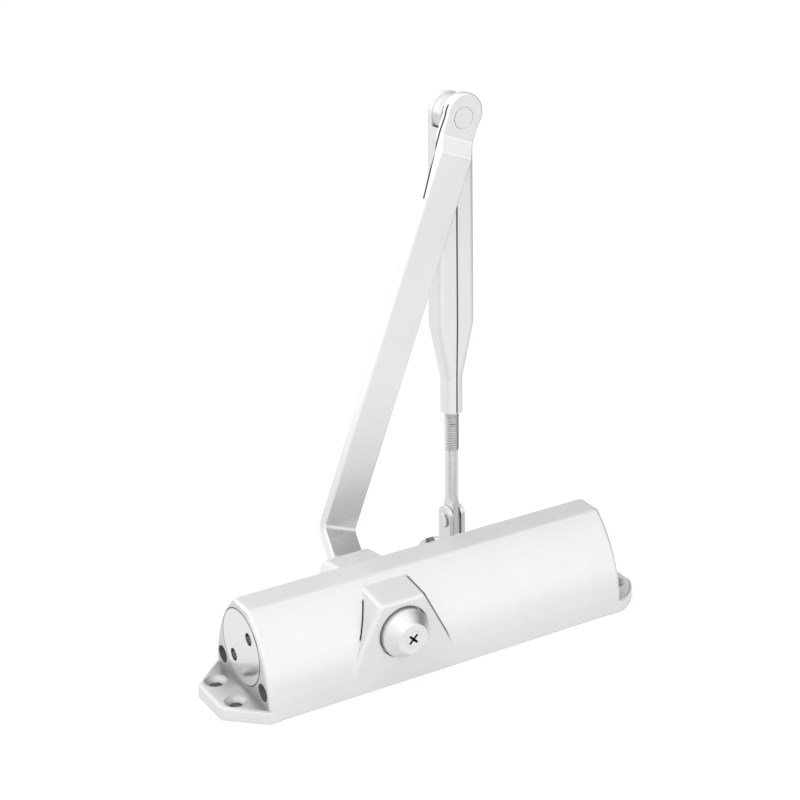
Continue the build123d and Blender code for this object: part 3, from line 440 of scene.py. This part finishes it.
def end_shade(tree, point, distance, darkest):
    """The shade of large hollows, only towards the body's two ends."""
    x, _, _ = axes_of(tree, point)
    across_x = maths(tree, "ABSOLUTE", x)
    at_end = rise(tree, across_x, HALF_LENGTH - 8.0 * MM, HALF_LENGTH - 1.0 * MM)
    shade = product(tree, at_end, hollow_shade(tree, distance, darkest))
    return maths(tree, "ADD", shade, maths(tree, "SUBTRACT", 1.0, at_end))


def plated_steel(name, level, roughness, corner, tint=(1.0, 1.0, 0.995), marks=None, patches=0.1):
    """Bright zinc plate with fine drawing marks and faint patches, darkened by painted shade in its
    hollows and at any given places.
    """
    mat, tree, shader = new_material(name)
    point = object_point(tree)
    grain = noise(tree, point, scale=2600.0, detail=2.0, rough=0.6)
    patch = noise(tree, point, scale=120.0, detail=3.0, rough=0.5)
    stops = [
        (0.3, grey(level * (1.0 - patches), tint)),
        (0.55, grey(level, tint)),
        (0.75, grey(level * (1.0 + patches / 2), tint)),
    ]
    factor = hollow_shade(tree, 3.0 * MM, 0.6)
    if marks is not None:
        factor = product(tree, factor, darkened(tree, marks(tree, point)))
    tree.links.new(times(tree, ramp(tree, patch, stops), factor), shader.inputs["Base Color"])
    shader.inputs["Metallic"].default_value = 1.0
    rough = remap(tree, grain, roughness - 0.06, roughness + 0.08, 0.3, 0.7)
    tree.links.new(rough, shader.inputs["Roughness"])
    normal = bump(tree, grain, distance=0.006 * MM, strength=0.6, normal=rounded(tree, corner))
    tree.links.new(normal, shader.inputs["Normal"])
    return mat


def turned_metal(name, level, roughness, spacing, corner, marks):
    """A plug's bright face, with fine lathe rings about the body's long axis, darkened by painted shade
    at given places.
    """
    mat, tree, shader = new_material(name)
    point = object_point(tree)
    _, y, z = axes_of(tree, point)
    radius = distance_from(tree, y, 0.0, z, AXIS_Z)
    ring_point = along_x(tree, product(tree, radius, 1.0 / spacing))
    rings = noise(tree, ring_point, scale=1.0, detail=2.0, rough=0.7)
    patch = noise(tree, point, scale=90.0, detail=2.0, rough=0.5)
    stops = [(0.3, grey(level * 0.95)), (0.6, grey(level)), (0.8, grey(level * 1.03))]
    factor = darkened(tree, marks(tree, point))
    tree.links.new(times(tree, ramp(tree, rings, stops), factor), shader.inputs["Base Color"])
    shader.inputs["Metallic"].default_value = 1.0
    rough = remap(tree, patch, roughness - 0.02, roughness + 0.03, 0.3, 0.7)
    tree.links.new(rough, shader.inputs["Roughness"])
    normal = bump(tree, rings, distance=0.0015 * MM, strength=0.5, normal=rounded(tree, corner))
    tree.links.new(normal, shader.inputs["Normal"])
    return mat


def rubber(name):
    """Black seal rubber with a fine grain."""
    mat, tree, shader = new_material(name)
    grain = noise(tree, object_point(tree), scale=3000.0, detail=2.0, rough=0.6)
    colour = ramp(tree, grain, [(0.3, (0.010, 0.010, 0.011)), (0.7, (0.022, 0.022, 0.023))])
    tree.links.new(colour, shader.inputs["Base Color"])
    shader.inputs["Roughness"].default_value = 0.6
    normal = bump(tree, grain, distance=0.01 * MM, strength=0.5)
    tree.links.new(normal, shader.inputs["Normal"])
    return mat


body_coat = silver_coat(
    "body_silver",
    level=0.765,
    metallic=0.56,
    roughness=0.33,
    corner=0.6 * MM,
    marks=body_painted_shade,
    crease=(1.0 * MM, 0.95),
    end_crease=(34.0 * MM, 0.32),
)
arm_coat = silver_coat(
    "arm_silver",
    level=0.87,
    metallic=0.80,
    roughness=0.30,
    corner=0.5 * MM,
    marks=arm_painted_light,
)
forearm_coat = silver_coat("forearm_silver", level=0.83, metallic=0.66, roughness=0.34, corner=0.5 * MM)
shoe_coat = silver_coat(
    "shoe_silver",
    level=0.78,
    metallic=0.75,
    roughness=0.32,
    corner=0.4 * MM,
    marks=shoe_painted_shade,
    crease=(5.0 * MM, 0.5),
)
cap_coat = silver_coat(
    "cap_silver",
    level=0.80,
    metallic=0.72,
    roughness=0.28,
    corner=0.25 * MM,
    marks=cap_painted_shade,
    crease=(0.5 * MM, 0.95),
)
plug_metal = turned_metal(
    "plug_metal",
    level=0.86,
    roughness=0.20,
    spacing=0.35 * MM,
    corner=0.1 * MM,
    marks=plug_painted_shade,
)
zinc = plated_steel("zinc_plate", level=0.84, roughness=0.24, corner=0.15 * MM)
zinc_bright = plated_steel("zinc_bright", level=0.72, roughness=0.30, corner=0.2 * MM)
rod_zinc = plated_steel(
    "rod_zinc",
    level=0.80,
    roughness=0.32,
    corner=0.12 * MM,
    tint=(1.0, 1.0, 0.998),
    marks=rod_painted_shade,
    patches=0.03,
)
# The regulating screws sit deep in their mouths, so their zinc is set dark as painted shade.
shaded_screw_zinc = plated_steel("shaded_screw_zinc", level=0.30, roughness=0.30, corner=0.1 * MM)
neutral, bluish, bronze_brown = (1.0, 1.0, 1.0), (0.97, 1.0, 1.04), (1.05, 0.80, 0.48)
machined = plated_steel("machined_steel", level=0.52, roughness=0.28, corner=0.15 * MM, tint=neutral)
spring_steel = plated_steel("spring_steel", level=0.34, roughness=0.34, corner=0.1 * MM, tint=bluish)
bronze = plated_steel("bearing_bronze", level=0.62, roughness=0.36, corner=0.1 * MM, tint=bronze_brown)
seal = rubber("seal_rubber")

node_materials = {
    "housing": body_coat,
    "left_end_plug": plug_metal,
    "right_end_plug": plug_metal,
    "left_plug_seal": seal,
    "right_plug_seal": seal,
    "sweep_valve": shaded_screw_zinc,
    "latch_valve": shaded_screw_zinc,
    "sweep_valve_seal": seal,
    "latch_valve_seal": seal,
    "pinion": machined,
    "piston": machined,
    "piston_check_ball": machined,
    "check_ball_retainer": machined,
    "main_spring": spring_steel,
    "spring_seat": machined,
    "front_bearing_cap": zinc_bright,
    "rear_bearing_cap": zinc_bright,
    "front_bearing": bronze,
    "rear_bearing": bronze,
    "front_shaft_seal": seal,
    "rear_shaft_seal": seal,
    "pinion_cap": cap_coat,
    "cap_screw": cap_coat,
    "main_arm": arm_coat,
    "arm_washer": zinc,
    "arm_screw": zinc,
    "elbow_rivet": forearm_coat,
    "elbow_spacer": zinc_bright,
    "elbow_washer": zinc,
    "forearm": forearm_coat,
    "adjusting_rod": rod_zinc,
    "shoe": shoe_coat,
    "shoe_rivet": shoe_coat,
}
for name, obj in nodes.items():
    obj.data.materials.clear()
    obj.data.materials.append(node_materials[name])


# Floor, light and camera

def light_paths(tree):
    """1 for a ray straight from the camera, and 1 for a mirrored ray or one through glass."""
    path = tree.nodes.new("ShaderNodeLightPath")
    glossy, through = path.outputs["Is Glossy Ray"], path.outputs["Is Transmission Ray"]
    return path.outputs["Is Camera Ray"], maths(tree, "MAXIMUM", glossy, through)


def mixed(tree, share, first, second):
    """Two shaders mixed by a share."""
    node = tree.nodes.new("ShaderNodeMixShader")
    tree.links.new(share, node.inputs["Fac"])
    tree.links.new(first.outputs[0], node.inputs[1])
    tree.links.new(second.outputs[0], node.inputs[2])
    return node


def studio_floor():
    """A wide pale floor that the camera sees as white, with the object's soft shadow on it; to light
    and mirrored rays it is painted darker towards the right, as painted shade that the metal reflects.
    """
    mesh = bpy.data.meshes.new("floor")
    reach = 6.0
    corners = [(-reach, -reach, 0), (reach, -reach, 0), (reach, reach, 0), (-reach, reach, 0)]
    mesh.from_pydata(corners, [], [(0, 1, 2, 3)])
    floor = bpy.data.objects.new("floor", mesh)
    bpy.context.scene.collection.objects.link(floor)
    mat = bpy.data.materials.new("floor_white")
    mat.use_nodes = True
    tree = mat.node_tree
    tree.nodes.clear()
    out = tree.nodes.new("ShaderNodeOutputMaterial")
    x, y, _ = axes_of(tree, object_point(tree))
    # To light and mirrored rays the floor is painted darker towards the right, as painted shade for the
    # metal to reflect; the camera sees the white floor below.
    rightward = (0.93, 0.36)
    to_right = maths(tree, "ADD", product(tree, x, rightward[0]), product(tree, y, rightward[1]))
    paint = tree.nodes.new("ShaderNodeBsdfDiffuse")
    shades = [(0.0, grey(0.90)), (1.0, grey(0.30))]
    tree.links.new(ramp(tree, rise(tree, to_right, 0.10, 0.75), shades), paint.inputs["Color"])
    lit = tree.nodes.new("ShaderNodeBsdfDiffuse")
    lit.inputs["Color"].default_value = (0.30, 0.30, 0.30, 1)
    glow = tree.nodes.new("ShaderNodeEmission")
    glow.inputs["Color"].default_value = (1, 1, 1, 1)
    glow.inputs["Strength"].default_value = 0.72
    seen = tree.nodes.new("ShaderNodeAddShader")
    tree.links.new(lit.outputs[0], seen.inputs[0])
    tree.links.new(glow.outputs[0], seen.inputs[1])
    camera_ray, _ = light_paths(tree)
    tree.links.new(mixed(tree, camera_ray, paint, seen).outputs[0], out.inputs["Surface"])
    mesh.materials.append(mat)


def toward_dark_side(tree):
    """How closely a direction points at the studio's dark right side, from 0 to 1."""
    azimuth, elevation = math.radians(75.0), math.radians(12.0)
    direction = tree.nodes.new("ShaderNodeTexCoord").outputs["Generated"]
    node = tree.nodes.new("ShaderNodeVectorMath")
    node.operation = "DOT_PRODUCT"
    node.inputs[1].default_value = (
        math.sin(azimuth) * math.cos(elevation),
        math.cos(azimuth) * math.cos(elevation),
        math.sin(elevation),
    )
    tree.links.new(direction, node.inputs[0])
    return rise(tree, node.outputs["Value"], -1.0, 1.0)


def background(tree, strength, colour=None):
    """A background shader of one strength, white unless a colour is given."""
    node = tree.nodes.new("ShaderNodeBackground")
    node.inputs["Strength"].default_value = strength
    if colour is None:
        node.inputs["Color"].default_value = (1, 1, 1, 1)
    else:
        tree.links.new(colour, node.inputs["Color"])
    return node


def studio_world():
    """White surroundings for the camera; for the light, a bright left and a darker right."""
    world = bpy.data.worlds.new("studio")
    bpy.context.scene.world = world
    world.use_nodes = True
    tree = world.node_tree
    tree.nodes.clear()
    out = tree.nodes.new("ShaderNodeOutputWorld")
    share = toward_dark_side(tree)
    light_stops = [(0.0, grey(0.80)), (0.5, grey(1.0)), (0.78, grey(0.86)), (1.0, grey(0.30))]
    mirror_stops = [
        (0.0, grey(0.78)),
        (0.2, grey(0.94)),
        (0.3, grey(1.14)),
        (0.5, grey(1.0)),
        (0.74, grey(0.90)),
        (0.90, grey(0.42)),
        (0.96, grey(0.12)),
        (1.0, grey(0.05)),
    ]
    light = background(tree, 1.12, ramp(tree, share, light_stops))
    mirror = background(tree, 1.36, ramp(tree, share, mirror_stops))
    white = background(tree, 1.0)
    camera_ray, mirrored = light_paths(tree)
    unseen = mixed(tree, mirrored, light, mirror)
    tree.links.new(mixed(tree, camera_ray, unseen, white).outputs[0], out.inputs["Surface"])


def softbox(name, place, size, power):
    """A square area lamp aimed at the object's middle, not mirrored in the metal."""
    lamp = bpy.data.lights.new(name, "AREA")
    lamp.shape = "SQUARE"
    lamp.size = size
    lamp.energy = power
    obj = bpy.data.objects.new(name, lamp)
    bpy.context.scene.collection.objects.link(obj)
    middle = Vector((0, 0, 0.08))
    turn = (middle - Vector(place)).to_track_quat("-Z", "Y").to_matrix()
    obj.matrix_world = Matrix.Translation(place) @ turn.to_4x4()
    obj.visible_glossy = False


def studio_camera():
    """The photograph's viewpoint: turned to the right, looking down, with a slight roll."""
    azimuth = math.radians(30.39)
    elevation = math.radians(23.10)
    roll = math.radians(-0.87)
    place = (-0.4599, -0.7634, 0.5156)
    level = math.cos(elevation)
    forward = Vector((math.sin(azimuth) * level, math.cos(azimuth) * level, -math.sin(elevation)))
    right = Vector((math.cos(azimuth), -math.sin(azimuth), 0.0))
    up = right.cross(forward)
    right_rolled = right * math.cos(roll) + up * math.sin(roll)
    up_rolled = up * math.cos(roll) - right * math.sin(roll)
    data = bpy.data.cameras.new("camera")
    data.sensor_width = 36.0
    data.lens = 88.985
    data.clip_end = 100.0
    cam = bpy.data.objects.new("camera", data)
    bpy.context.scene.collection.objects.link(cam)
    turn = Matrix((right_rolled, up_rolled, -forward)).transposed()
    cam.matrix_world = Matrix.Translation(place) @ turn.to_4x4()
    bpy.context.scene.camera = cam


studio_floor()
studio_world()
softbox("key", (-0.9, -1.0, 1.5), size=1.4, power=5.0)
softbox("fill", (1.0, -1.2, 0.9), size=1.2, power=3.0)
studio_camera()
bpy.context.scene.view_settings.view_transform = "Standard"
